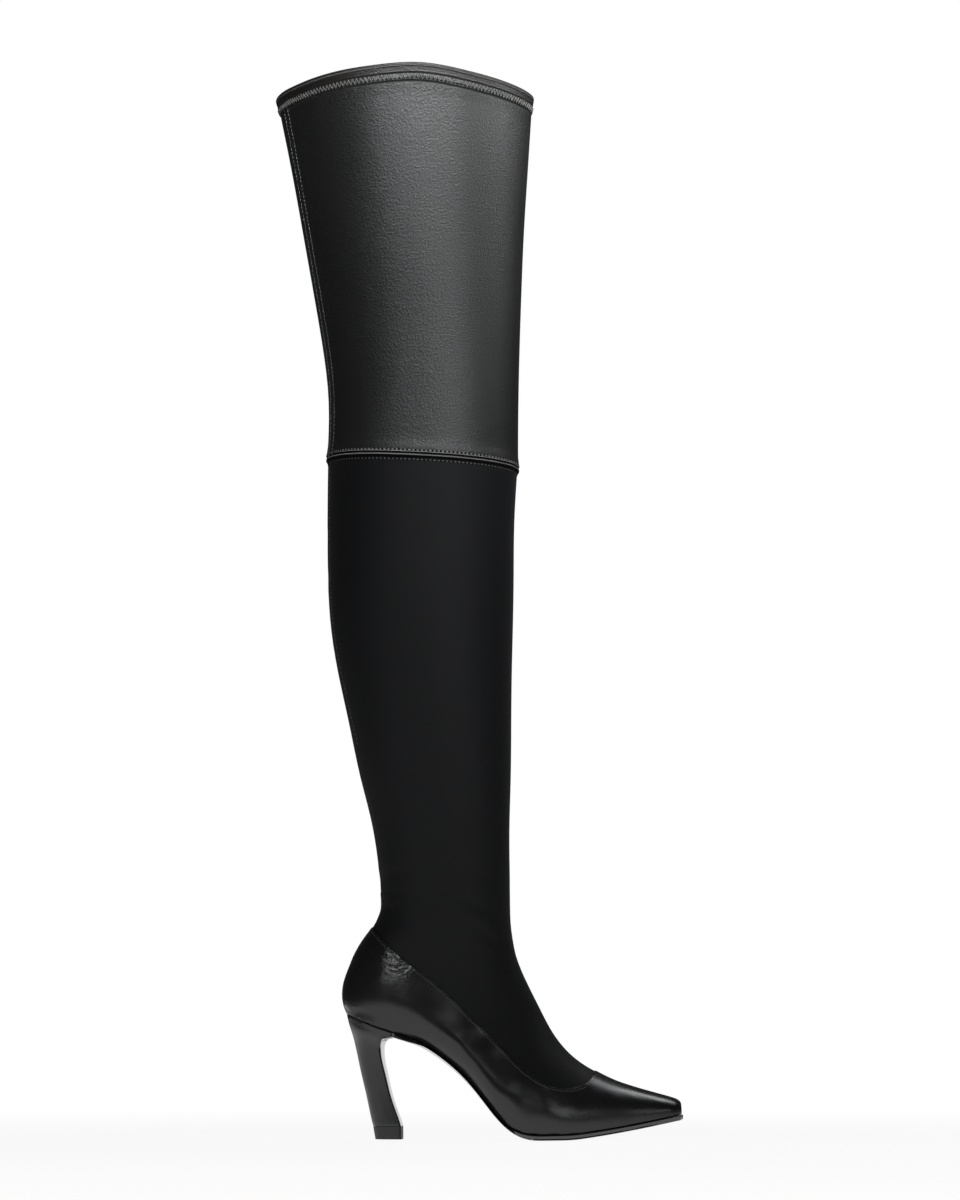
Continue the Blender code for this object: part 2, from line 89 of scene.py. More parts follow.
def normalsOf(mesh):
    flat = np.zeros(len(mesh.vertices) * 3)
    mesh.vertices.foreach_get("normal", flat)
    return flat.reshape(-1, 3)


def smoothStep(x, start, end):
    t = np.clip((np.asarray(x, float) - start) / (end - start), 0, 1)
    return t * t * (3 - 2 * t)


def ridge(x, centre, width):  # 1 at the centre, 0 a few widths away
    return np.exp(-(((np.asarray(x, float) - centre) / width) ** 2))


def copyNode(node, name, crease=1.0, sharp=40):
    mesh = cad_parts[node].data.copy()
    mesh.name = name
    mesh.materials.clear()
    piece = bpy.data.objects.new(name, mesh)
    bpy.context.scene.collection.objects.link(piece)
    pick(piece)
    bpy.ops.mesh.customdata_custom_splitnormals_clear()
    bpy.ops.object.mode_set(mode="EDIT")
    bpy.ops.mesh.select_mode(type="EDGE")
    bpy.ops.mesh.select_all(action="SELECT")
    bpy.ops.mesh.remove_doubles(threshold=weld)
    bpy.ops.mesh.tris_convert_to_quads(face_threshold=math.radians(50), shape_threshold=math.radians(70))
    bpy.ops.mesh.mark_sharp(clear=True)
    bpy.ops.mesh.select_all(action="DESELECT")
    bpy.ops.mesh.edges_select_sharp(sharpness=math.radians(sharp))
    bpy.ops.transform.edge_crease(value=crease)
    bpy.ops.mesh.select_all(action="DESELECT")
    bpy.ops.object.mode_set(mode="OBJECT")
    return piece


def smoothed(piece, levels=2, passes=4):
    # the cage is moved until the smooth surface runs through the CAD's own points
    goal = pointsOf(piece.data)
    cage = goal.copy()
    soften = piece.modifiers.new("smooth", "SUBSURF")
    soften.levels = soften.render_levels = levels
    for _ in range(passes):
        graph = bpy.context.evaluated_depsgraph_get()
        made = piece.evaluated_get(graph).to_mesh()
        cage += goal - pointsOf(made)[:len(goal)]
        piece.evaluated_get(graph).to_mesh_clear()
        setPoints(piece.data, cage)
    pick(piece)
    bpy.ops.object.modifier_apply(modifier="smooth")
    piece.data.shade_smooth()
    return piece


def cutRows(piece, longest, cuts, upright=0.8):
    # more rows across the tall faces
    pick(piece)
    bpy.ops.object.mode_set(mode="EDIT")
    body = bmesh.from_edit_mesh(piece.data)
    for edge in body.edges:
        run = edge.verts[1].co - edge.verts[0].co
        edge.select_set(run.length > longest and abs(run.z) > upright * run.length)
    bmesh.update_edit_mesh(piece.data)
    bpy.ops.mesh.subdivide(number_cuts=cuts)
    bpy.ops.mesh.select_all(action="DESELECT")
    bpy.ops.object.mode_set(mode="OBJECT")


def sliceAt(point, normal):
    bpy.ops.mesh.select_all(action="SELECT")
    bpy.ops.mesh.bisect(plane_co=point, plane_no=normal)


def sharpLoops(node, sharp=60, fewest=40):
    # the closed edge lines of a CAD shell, each as points in order, lowest first
    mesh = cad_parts[node].data.copy()
    body = bmesh.new()
    body.from_mesh(mesh)
    bmesh.ops.remove_doubles(body, verts=body.verts, dist=weld)
    inside = [e for e in body.edges if len(e.link_faces) == 2]
    edges = dict.fromkeys(e for e in inside if e.calc_face_angle(0) > math.radians(sharp))
    loops = []
    while edges:  # taken in the mesh's order, so every run starts a line at the same place
        first = edges.popitem()[0]
        line = [first.verts[0], first.verts[1]]
        while True:
            last = line[-1]
            onward = [e for e in last.link_edges if e in edges]
            if not onward:
                break
            del edges[onward[0]]
            line.append(onward[0].other_vert(last))
        loops.append(np.array([v.co[:] for v in line]))
    body.free()
    bpy.data.meshes.remove(mesh)
    loops = [line for line in loops if len(line) > fewest]
    return sorted(loops, key=lambda line: line[:, 2].mean())


def widest(loops):
    return max(loops, key=lambda line: np.ptp(line[:, 0]) + np.ptp(line[:, 1]))


def evenly(line, pitch, closed=True):
    # points at an even pitch along a line, and the tangents there
    if closed:
        line = np.vstack([line, line[:1]]) if np.linalg.norm(line[0] - line[-1]) > 1e-6 else line
    steps = np.linalg.norm(np.diff(line, axis=0), axis=1)
    length = np.concatenate([[0], np.cumsum(steps)])
    count = max(2, round(length[-1] / pitch))
    at = np.linspace(0, length[-1], count, endpoint=not closed)
    points = np.stack([np.interp(at, length, line[:, i]) for i in range(3)], 1)
    step = np.gradient(points, axis=0)
    if closed:
        step = np.roll(points, -1, 0) - np.roll(points, 1, 0)
    return points, step / np.linalg.norm(step, axis=1, keepdims=True)


# stitches lie on the outer wall of a finished piece

guide = {
    "pitch": 0.002,  # along the edge line that a row follows
    "off": 0.0008,  # out of the surface, before the row is laid on it
    "moves": (0.4, 0.3, 0.3),  # shares of the way from the edge to the row
}


def outerTree(piece):
    outer = outsideOf(piece)
    faces = [p.vertices[:] for p in piece.data.polygons if outer[list(p.vertices)].all()]
    return BVHTree.FromPolygons(pointsOf(piece.data).tolist(), faces)


def nearest(tree, points):
    found = [tree.find_nearest(Vector(p)) for p in points]
    return np.array([f[0] for f in found]), np.array([f[1] for f in found])


def rowBeside(tree, line, rise, pitch):
    # a row at a distance above or below an edge line, on the surface
    spots, tangents = evenly(line, guide["pitch"])
    normals = np.cross(tangents, (0, 0, 1.0))
    if ((spots - spots.mean(0)) * normals)[:, :2].sum() < 0:
        normals = -normals
    spots = spots + normals * guide["off"]
    for part in guide["moves"]:
        across = np.cross(normals, tangents)
        across *= np.sign(across[:, 2].mean())
        across /= np.linalg.norm(across, axis=1, keepdims=True)
        spots, normals = nearest(tree, spots + across * rise * part)
    points, tangents = evenly(spots, pitch)
    spots, normals = nearest(tree, points)
    return spots, tangents, normals


def joinCopies(name, model, spots, along, normals, lift, surface, sizes=None):
    # one object from copies of a small mesh: x along, z out of the surface
    base = pointsOf(model.data)
    faces = [tuple(p.vertices) for p in model.data.polygons]
    across = np.cross(normals, along)
    across /= np.linalg.norm(across, axis=1, keepdims=True)
    outward = np.cross(along, across)
    sizes = np.ones(len(spots)) if sizes is None else sizes
    points = []
    joined = []
    for i, spot in enumerate(spots):
        turn = np.stack([along[i] * sizes[i], across[i], outward[i]])
        points.append(base @ turn + spot + outward[i] * lift)
        joined += [tuple(v + i * len(base) for v in face) for face in faces]
    mesh = bpy.data.meshes.new(name)
    mesh.from_pydata(np.vstack(points).tolist(), [], joined)
    mesh.shade_smooth()
    mesh.materials.append(surface)
    piece = bpy.data.objects.new(name, mesh)
    bpy.context.scene.collection.objects.link(piece)
    return piece


def threadModel(length, width, height):
    bpy.ops.mesh.primitive_uv_sphere_add(segments=8, ring_count=6, radius=0.5)
    model = bpy.context.object
    bpy.ops.object.mode_set(mode="EDIT")
    bpy.ops.mesh.select_all(action="SELECT")
    bpy.ops.transform.rotate(value=math.pi / 2, orient_axis="Y", center_override=(0, 0, 0))
    bpy.ops.object.mode_set(mode="OBJECT")
    points = pointsOf(model.data)
    points[:, 0] = np.sign(points[:, 0]) * np.abs(points[:, 0] * 2) ** 0.75 / 2  # fuller ends
    setPoints(model.data, points * (length, width, height))
    return model


def drop(model):
    mesh = model.data
    bpy.data.objects.remove(model)
    bpy.data.meshes.remove(mesh)


# materials


def newSurface(name, colour, roughness, specular=0.5, coat=0.0, coatRoughness=0.2):
    made = bpy.data.materials.new(name)
    made.use_nodes = True
    tree = made.node_tree
    shader = tree.nodes["Principled BSDF"]
    shader.inputs["Base Color"].default_value = (*colour, 1)
    shader.inputs["Roughness"].default_value = roughness
    shader.inputs["Specular IOR Level"].default_value = specular
    shader.inputs["Coat Weight"].default_value = coat
    shader.inputs["Coat Roughness"].default_value = coatRoughness
    return made, tree, shader


def place(tree, scale=(1, 1, 1)):
    where = tree.nodes.new("ShaderNodeTexCoord")
    mapping = tree.nodes.new("ShaderNodeMapping")
    mapping.inputs["Scale"].default_value = scale
    tree.links.new(where.outputs["Object"], mapping.inputs["Vector"])
    return mapping.outputs["Vector"]


def noise(tree, vector, scale, detail=3, rough=0.5):
    node = tree.nodes.new("ShaderNodeTexNoise")
    node.inputs["Scale"].default_value = scale
    node.inputs["Detail"].default_value = detail
    node.inputs["Roughness"].default_value = rough
    tree.links.new(vector, node.inputs["Vector"])
    return node.outputs["Fac"]


def cells(tree, vector, scale):
    node = tree.nodes.new("ShaderNodeTexVoronoi")
    node.feature = "SMOOTH_F1"
    node.inputs["Scale"].default_value = scale
    node.inputs["Smoothness"].default_value = 0.4
    tree.links.new(vector, node.inputs["Vector"])
    return node.outputs["Distance"]


def ranged(tree, value, low, high, newLow, newHigh):
    node = tree.nodes.new("ShaderNodeMapRange")
    node.inputs["From Min"].default_value = low
    node.inputs["From Max"].default_value = high
    node.inputs["To Min"].default_value = newLow
    node.inputs["To Max"].default_value = newHigh
    tree.links.new(value, node.inputs["Value"])
    return node.outputs["Result"]


def varied(tree, vector, scale, detail, low, high):
    # a value that drifts between low and high over the piece
    return ranged(tree, noise(tree, vector, scale, detail), 0.3, 0.7, low, high)


def times(tree, first, second):
    node = tree.nodes.new("ShaderNodeMath")
    node.operation = "MULTIPLY"
    tree.links.new(first, node.inputs[0])
    if isinstance(second, (int, float)):
        node.inputs[1].default_value = second
    else:
        tree.links.new(second, node.inputs[1])
    return node.outputs["Value"]


def relief(tree, shader, height, strength, distance, under=None):
    node = tree.nodes.new("ShaderNodeBump")
    node.inputs["Strength"].default_value = strength
    node.inputs["Distance"].default_value = distance
    tree.links.new(height, node.inputs["Height"])
    if under:
        tree.links.new(under, node.inputs["Normal"])
    tree.links.new(node.outputs["Normal"], shader.inputs["Normal"])
    return node.outputs["Normal"]


def tint(tree, shader, amount, dark, light):
    node = tree.nodes.new("ShaderNodeMix")
    node.data_type = "RGBA"
    tree.links.new(amount, node.inputs["Factor"])
    node.inputs["A"].default_value = (*dark, 1)
    node.inputs["B"].default_value = (*light, 1)
    tree.links.new(node.outputs["Result"], shader.inputs["Base Color"])


def attribute(tree, name):
    node = tree.nodes.new("ShaderNodeAttribute")
    node.attribute_name = name
    return node.outputs["Fac"]


def stripe(tree, value, centre, width):
    # 1 along a line at a measured distance from an edge, 0 beside it
    away = tree.nodes.new("ShaderNodeMath")
    away.operation = "SUBTRACT"
    tree.links.new(value, away.inputs[0])
    away.inputs[1].default_value = centre
    size = tree.nodes.new("ShaderNodeMath")
    size.operation = "ABSOLUTE"
    tree.links.new(away.outputs["Value"], size.inputs[0])
    faded = ranged(tree, size.outputs["Value"], 0, width, 1, 0)
    faded.node.interpolation_type = "SMOOTHSTEP"
    return faded


def combined(tree, operation, values):
    total = values[0]
    for value in values[1:]:
        node = tree.nodes.new("ShaderNodeMath")
        node.operation = operation
        tree.links.new(total, node.inputs[0])
        tree.links.new(value, node.inputs[1])
        total = node.outputs["Value"]
    return total


def blendOver(tree, shader, amount, colour):
    # lay a second colour over the one that the shader has
    node = tree.nodes.new("ShaderNodeMix")
    node.data_type = "RGBA"
    before = shader.inputs["Base Color"].links[0].from_socket
    tree.links.new(amount, node.inputs["Factor"])
    tree.links.new(before, node.inputs["A"])
    node.inputs["B"].default_value = (*colour, 1)
    tree.links.new(node.outputs["Result"], shader.inputs["Base Color"])


def stripes(tree, value, lines):
    return combined(tree, "ADD", [stripe(tree, value, *line) for line in lines])


hemRow = 0.0098  # the zigzag's middle, below the collar

edgeLines = {
    # distance below the collar or above the knee edge, and width; the fold and lit lines carry painted
    # highlights, the sunk and shade lines painted shade
    "hemFold": (0.0018, 0.0010),
    "hemSunk": ((0.0070, 0.0009), (0.0126, 0.0009)),
    "hemShade": (hemRow, 0.0034),
    "kneeLit": ((0.0004, 0.0006), (0.0025, 0.0006)),
    "kneeSunk": (0.0013, 0.0009),
    "kneeShade": (0.0, 0.0016),
    # where the browner band at the collar ends
    "hemBand": (0.0060, 0.0075),
}


def grainedLeather():
    made, tree, shader = newSurface("grained stretch leather", (0.011, 0.0113, 0.011), 0.42, 0.5)
    plain = place(tree)
    flat = place(tree, (0.10, 0.10, 1))
    tint(tree, shader, noise(tree, plain, 14, 3), (0.0085, 0.009, 0.0087), (0.0145, 0.0147, 0.0142))
    satin = varied(tree, plain, 320, 4, 0.36, 0.47)
    wrinkles = relief(tree, shader, noise(tree, flat, 420, 4, 0.6), 0.16, 0.0005)
    pebbles = relief(tree, shader, cells(tree, plain, 760), 0.55, 0.0003, wrinkles)
    pores = relief(tree, shader, noise(tree, plain, 1100, 3, 0.6), 0.55, 0.00028, pebbles)
    folds = times(tree, noise(tree, place(tree, (1, 1, 0.12)), 240, 2), attribute(tree, "pucker"))
    folded = relief(tree, shader, folds, 0.45, 0.0014, pores)
    # hem and knee seam, by the distance from each edge: painted highlights along the hem fold and the
    # knee's lit lines, painted shade along the sunk lines and round the zigzag
    hem, knee = attribute(tree, "hemDown"), attribute(tree, "kneeUp")
    band = ranged(tree, hem, *edgeLines["hemBand"], 1, 0)
    shade = stripe(tree, hem, *edgeLines["hemShade"])
    edges = stripes(tree, knee, edgeLines["kneeLit"])
    raisedAndHighlit = combined(tree, "ADD", [stripe(tree, hem, *edgeLines["hemFold"]), edges])
    sunkHem, sunkKnee = stripes(tree, hem, edgeLines["hemSunk"]), stripe(tree, knee, *edgeLines["kneeSunk"])
    sunkAndShaded = combined(tree, "ADD", [sunkHem, sunkKnee])
    blendOver(tree, shader, times(tree, band, 0.6), (0.0135, 0.0115, 0.0098))
    # painted shade round the zigzag row
    blendOver(tree, shader, times(tree, shade, 0.8), (0.0030, 0.0029, 0.0027))
    # painted shade in the sunk lines, which the bump also sinks and the roughness dulls
    blendOver(tree, shader, times(tree, sunkAndShaded, 0.9), (0.0015, 0.0015, 0.0015))
    # painted highlight on the hem fold and the knee's lit lines, which the bump also raises
    blendOver(tree, shader, times(tree, raisedAndHighlit, 0.8), (0.10, 0.10, 0.098))
    # a brighter painted highlight on the knee's lit lines
    blendOver(tree, shader, times(tree, edges, 0.8), (0.40, 0.40, 0.395))
    tree.links.new(combined(tree, "MAXIMUM", [satin, sunkAndShaded]), shader.inputs["Roughness"])
    relief(tree, shader, combined(tree, "SUBTRACT", [raisedAndHighlit, sunkAndShaded]), 1.0, 0.0009, folded)
    return made


def stretchFabric():
    made, tree, shader = newSurface("matt stretch fabric", (0.008, 0.0086, 0.0098), 0.62, 0.19)
    plain = place(tree)
    tint(tree, shader, noise(tree, plain, 9, 2), (0.0028, 0.0031, 0.0037), (0.0041, 0.0045, 0.0053))
    # painted shade on the fabric just under the leather's knee edge
    seam = stripe(tree, attribute(tree, "kneeUp"), *edgeLines["kneeShade"])
    blendOver(tree, shader, seam, (0.0010, 0.0010, 0.0011))
    shader.inputs["Sheen Weight"].default_value = 0.03
    shader.inputs["Sheen Roughness"].default_value = 0.45
    knit = relief(tree, shader, noise(tree, place(tree, (1, 1, 0.35)), 2600, 2), 0.35, 0.0002)
    relief(tree, shader, noise(tree, place(tree, (0.25, 0.25, 1)), 90, 2), 0.12, 0.0015, knit)
    return made


def polishedLeather():
    made, tree, shader = newSurface("polished leather", (0.009, 0.009, 0.0095), 0.24, 0.5, 0.0)
    plain = place(tree)
    tint(tree, shader, noise(tree, plain, 22, 3), (0.0082, 0.0082, 0.0086), (0.0125, 0.0125, 0.013))
    split = tree.nodes.new("ShaderNodeSeparateXYZ")
    tree.links.new(plain, split.inputs["Vector"])
    toe = ranged(tree, split.outputs["X"], 0.08, 0.13, 0, 0.09)  # satin toward the toe
    shine = varied(tree, plain, 60, 4, 0.15, 0.22)
    tree.links.new(combined(tree, "ADD", [shine, toe]), shader.inputs["Roughness"])
    broad = relief(tree, shader, noise(tree, plain, 34, 2), 0.12, 0.0022)
    pores = relief(tree, shader, cells(tree, plain, 1700), 0.14, 0.00012, broad)
    pinched = times(tree, noise(tree, plain, 330, 3), attribute(tree, "pucker"))
    relief(tree, shader, pinched, 0.5, 0.0009, pores)
    return made


def heelLeather():
    made, tree, shader = newSurface("heel cover leather", (0.014, 0.014, 0.0145), 0.36, 0.5, 0.1, 0.25)
    plain = place(tree)
    tree.links.new(varied(tree, plain, 70, 4, 0.32, 0.44), shader.inputs["Roughness"])
    broad = relief(tree, shader, noise(tree, plain, 45, 2), 0.10, 0.0012)
    relief(tree, shader, cells(tree, plain, 1500), 0.10, 0.0001, broad)
    return made


def soleLacquer():
    made, tree, shader = newSurface("lacquered sole leather", (0.010, 0.010, 0.010), 0.14, 0.5, 0.8, 0.04)
    plain = place(tree)
    tree.links.new(varied(tree, plain, 120, 5, 0.10, 0.20), shader.inputs["Roughness"])
    relief(tree, shader, noise(tree, place(tree, (0.4, 1, 1)), 700, 3), 0.12, 0.0001)
    return made


def topPieceRubber():
    made, tree, shader = newSurface("moulded rubber", (0.022, 0.022, 0.0225), 0.55, 0.45)
    plain = place(tree)
    tint(tree, shader, noise(tree, plain, 300, 4), (0.018, 0.018, 0.0185), (0.028, 0.028, 0.0285))
    relief(tree, shader, noise(tree, plain, 1200, 4), 0.3, 0.00015)
    return made


def sockLeather():
    made, tree, shader = newSurface("sock lining leather", (0.020, 0.019, 0.018), 0.58, 0.4)
    plain = place(tree)
    tint(tree, shader, noise(tree, plain, 40, 4), (0.016, 0.015, 0.0145), (0.026, 0.025, 0.024))
    relief(tree, shader, cells(tree, plain, 1100), 0.25, 0.0002)
    return made


def liningCloth():
    made, tree, shader = newSurface("brushed lining", (0.016, 0.016, 0.016), 0.95, 0.2)
    tint(tree, shader, noise(tree, place(tree), 60, 4), (0.012, 0.012, 0.0122), (0.021, 0.021, 0.021))
    relief(tree, shader, noise(tree, place(tree, (1, 1, 0.5)), 1900, 2), 0.5, 0.0003)
    return made


def sewingThread(name, colour, roughness):
    made, tree, shader = newSurface(name, colour, roughness, 0.5)
    relief(tree, shader, noise(tree, place(tree), 4200, 2), 0.4, 0.00012)
    return made


leather = grainedLeather()
fabric = stretchFabric()
polished = polishedLeather()
heelSkin = heelLeather()
lacquer = soleLacquer()
rubber = topPieceRubber()
sock = sockLeather()
lining = liningCloth()
hemThread = sewingThread("hem thread", (0.155, 0.152, 0.146), 0.45)
backThread = sewingThread("back seam thread", (0.20, 0.20, 0.20), 0.40)
seamThread = sewingThread("seam thread", (0.085, 0.085, 0.086), 0.40)
# the knee stitches are real thread; their light grey colour is a painted glint
kneeThreadGlint = sewingThread("knee thread with painted glint", (0.22, 0.22, 0.22), 0.35)
fineThread = sewingThread("fine thread", (0.075, 0.070, 0.062), 0.45)
# near-black painted shade for the needle holes, the gap over the thigh's rolled edge and its cut edge
paintedShade = newSurface("painted shade", (0.0015, 0.0015, 0.0015), 0.9, 0.1)[0]
print("materials ready")


wallTest = {"start": 0.0002, "reach": 0.30}


def outsideOf(piece):
    # True for each vertex on the outer wall of a leg or foot shell
    points, normals = pointsOf(piece.data), normalsOf(piece.data)
    tree = BVHTree.FromPolygons(points.tolist(), [p.vertices[:] for p in piece.data.polygons])
    free = []
    for point, normal in zip(points, normals):
        start = Vector(point + normal * wallTest["start"])
        free.append(tree.ray_cast(start, Vector(normal), wallTest["reach"])[0] is None)
    return np.array(free)


def lineInside(piece, outer):
    # faces of the inner wall get the lining
    piece.data.materials.append(lining)
    for face in piece.data.polygons:
        if not any(outer[v] for v in face.vertices):
            face.material_index = 1


def setAttribute(piece, name, values):
    layer = piece.data.attributes.new(name, "FLOAT", "POINT")
    layer.data.foreach_set("value", np.ascontiguousarray(values, np.float32))


# the edge lines of the CAD shells

legMiddle = 0.012  # x of the leg's middle line
kneeEdge = widest(sharpLoops("shaft_upper")[:2])
collarEdge = widest(sharpLoops("shaft_upper")[-2:])
topEdge = widest(sharpLoops("upper")[-2:])


def heightRound(line):
    # height of an edge line by the angle round the leg
    angle = np.arctan2(line[:, 1], line[:, 0] - legMiddle)
    order = np.argsort(angle)
    angle, height = angle[order], line[order, 2]
    angle = np.concatenate([angle[-1:] - 2 * np.pi, angle, angle[:1] + 2 * np.pi])
    height = np.concatenate([height[-1:], height, height[:1]])
    return lambda points: np.interp(np.arctan2(points[:, 1], points[:, 0] - legMiddle), angle, height)


knee = {"height": kneeEdge[:, 2].mean(), "sag": 0.0029, "reach": 0.030, "width": 0.062}


def kneeSag(points):
    # the seam dips a little on both flanks
    aside = (points[:, 1] / knee["width"]) ** 2
    return knee["sag"] * aside * ridge(points[:, 2], knee["height"], knee["reach"])


# thigh panel with its turned hem and the rolled edge over the knee

panel = {
    "tallFace": 0.004,
    "cuts": 2,
    "rows": (  # cuts above the knee edge
        0.0003, 0.0006, 0.0009, 0.0012, 0.0016, 0.0020, 0.0024,
        0.0028, 0.0033, 0.0040, 0.0050, 0.0065, 0.0085,
    ),
    # size, distance from the edge and width
    "roll": (0.00025, 0.0003, 0.0007),
    "groove": (0.00040, 0.0013, 0.0007),
    "hemFold": (0.0005, 0.0014, 0.0016),
    "hemSunk": (0.0004, hemRow, 0.0012),
    "kneePucker": (0.35, 0.006, 0.004),
    # from and to
    "flareAbove": (0.0034, 0.0125),
    "puckerFrom": (0.006, 0.010),
    "puckerTo": (0.012, 0.022),
    "gap": (0.0008, 0.0025),
    "flareOut": 0.0007,
    "cutEdge": 0.0002,
}


def swell(distance, shape):
    size, centre, width = shape
    return size * ridge(distance, centre, width)


def makePanel():
    piece = smoothed(copyNode("shaft_upper", "thigh_panel", 0.55))
    cutRows(piece, panel["tallFace"], panel["cuts"])
    back, front = kneeEdge[kneeEdge[:, 0].argmin()], kneeEdge[kneeEdge[:, 0].argmax()]
    level = Vector((back[2] - front[2], 0, front[0] - back[0])).normalized()
    bpy.ops.object.mode_set(mode="EDIT")
    for height in panel["rows"]:
        sliceAt(Vector(front) + level * height, level)
    bpy.ops.mesh.select_all(action="DESELECT")
    bpy.ops.object.mode_set(mode="OBJECT")
    outer = outsideOf(piece)
    points, normals = pointsOf(piece.data), normalsOf(piece.data)
    above = (points - back) @ np.array(level)
    below = heightRound(collarEdge)(points) - points[:, 2]
    roll, sunk = swell(above, panel["roll"]), swell(above, panel["groove"])
    flare = panel["flareOut"] * (1 - smoothStep(above, *panel["flareAbove"]))
    turned = swell(below, panel["hemFold"]) - swell(below, panel["hemSunk"])
    move = (roll - sunk + flare + turned) * outer
    shifted = points + normals * move[:, None]
    shifted[:, 2] -= kneeSag(points)
    setPoints(piece.data, shifted)
    pucker = smoothStep(below, *panel["puckerFrom"]) * (1 - smoothStep(below, *panel["puckerTo"]))
    setAttribute(piece, "pucker", pucker + swell(above, panel["kneePucker"]))
    setAttribute(piece, "hemDown", below)
    setAttribute(piece, "kneeUp", above)
    piece.data.materials.append(leather)
    lineInside(piece, outer)
    piece.data.materials.append(paintedShade)
    low, high = panel["gap"]
    for face in piece.data.polygons:  # painted shade: near-black faces in the shadow gap over the rolled edge, and on the cut edge under it
        corners = list(face.vertices)
        rise = above[corners]
        gap = rise.min() > low and rise.max() < high and outer[corners].all()
        if gap or rise.max() < panel["cutEdge"]:
            face.material_index = 2
    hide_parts("shaft_upper")
    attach(piece, "root")
    return piece


thigh = makePanel()
print("thigh panel:", len(thigh.data.polygons), "faces")

# stretch shaft, knee to instep

shaft = {
    "tallFace": 0.005,
    "cuts": 2,
    "creases": (
        # x, z, half length, half height, slant, depth
        (0.052, 0.190, 0.030, 0.0040, 0.35, 0.0003),
        (0.058, 0.166, 0.026, 0.0035, 0.45, 0.0004),
        (0.070, 0.142, 0.024, 0.0035, 0.60, 0.0003),
        (0.004, 0.186, 0.022, 0.0040, -0.30, 0.0003),
        (-0.020, 0.430, 0.030, 0.0050, 0.10, 0.0003),
        (-0.028, 0.404, 0.026, 0.0050, -0.08, 0.0003),
    ),
}


crease = {"wave": 0.12, "waves": 5, "fade": 1.6, "lip": 0.55, "lipAway": 1.9, "lipWidth": 1.1}


def creased(points, creases):
    # soft troughs with a low ridge on each side, on both sides of the leg
    depth = np.zeros(len(points))
    for x, z, long, tall, slant, deep in creases:
        along = (points[:, 0] - x) * math.cos(slant) + (points[:, 2] - z) * -math.sin(slant)
        across = (points[:, 0] - x) * math.sin(slant) + (points[:, 2] - z) * math.cos(slant)
        across = across + crease["wave"] * tall * np.sin(along / long * crease["waves"])
        fade = np.exp(-((along / long) ** 2) * crease["fade"])
        trough = ridge(across, 0, tall)
        for away in (crease["lipAway"] * tall, -crease["lipAway"] * tall):
            trough = trough - crease["lip"] * ridge(across, away, crease["lipWidth"] * tall)
        depth += deep * fade * trough
    return depth


def makeShaft():
    piece = smoothed(copyNode("shaft_lower", "stretch_shaft", 0.8))
    cutRows(piece, shaft["tallFace"], shaft["cuts"])
    outer = outsideOf(piece)
    points, normals = pointsOf(piece.data), normalsOf(piece.data)
    move = -creased(points, shaft["creases"]) * outer
    shifted = points + normals * move[:, None]
    shifted[:, 2] -= kneeSag(points)
    setPoints(piece.data, shifted)
    setAttribute(piece, "kneeUp", points[:, 2] - heightRound(kneeEdge)(points))
    piece.data.materials.append(fabric)
    lineInside(piece, outer)
    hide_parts("shaft_lower")
    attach(piece, "root")
    return piece


lower = makeShaft()
print("stretch shaft:", len(lower.data.polygons), "faces")

# polished leather foot

foot = {
    "puckerDown": 0.014,  # below the topline
    "puckerBehind": (-0.045, -0.005),  # fades in toward the heel, by -x
    "creases": (
        # x, z, half length, half height, slant, depth
        (0.128, 0.034, 0.016, 0.0040, -0.9, 0.00010),
        (0.140, 0.030, 0.014, 0.0036, -1.0, 0.00008),
        (0.116, 0.036, 0.016, 0.0040, -0.8, 0.00010),
        (0.020, 0.126, 0.016, 0.0030, -0.75, 0.00020),
        (0.010, 0.134, 0.014, 0.0026, -0.80, 0.00020),
        (0.066, 0.070, 0.026, 0.0055, -0.60, 0.00025),
    ),
}


def makeFoot():
    piece = smoothed(copyNode("upper", "leather_foot", 0.8))
    outer = outsideOf(piece)
    points, normals = pointsOf(piece.data), normalsOf(piece.data)
    move = -creased(points, foot["creases"]) * outer
    setPoints(piece.data, points + normals * move[:, None])
    away = np.array([np.linalg.norm(topEdge - p, axis=1).min() for p in points])
    pucker = ridge(away, 0, foot["puckerDown"]) * smoothStep(-points[:, 0], *foot["puckerBehind"])
    setAttribute(piece, "pucker", pucker)
    piece.data.materials.append(polished)
    lineInside(piece, outer)
    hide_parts("upper")
    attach(piece, "root")
    return piece


pump = makeFoot()
print("foot:", len(pump.data.polygons), "faces")


def makeHard(node, name, surface, crease, sharp):
    piece = smoothed(copyNode(node, name, crease, sharp))
    points = pointsOf(piece.data)
    points[:, 2] = np.maximum(points[:, 2], 0)  # flat on the floor
    setPoints(piece.data, points)
    pick(piece)
    bpy.ops.object.shade_smooth_by_angle(angle=math.radians(35))
    piece.data.materials.append(surface)
    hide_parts(node)
    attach(piece, "root")
    return piece


waist = {
    # along the foot, by x
    "from": 0.015,
    "full": 0.030,
    "fade": 0.080,
    "to": 0.105,
    # the edge
    "crown": 0.0022,
    "thick": 0.0040,
    # cuts, and the places where the width is read
    "halfWidth": 0.030,
    "slices": 9,
    "step": 0.004,
    "window": 0.005,
    "middle": 0.4,
    "downward": -0.4,
}


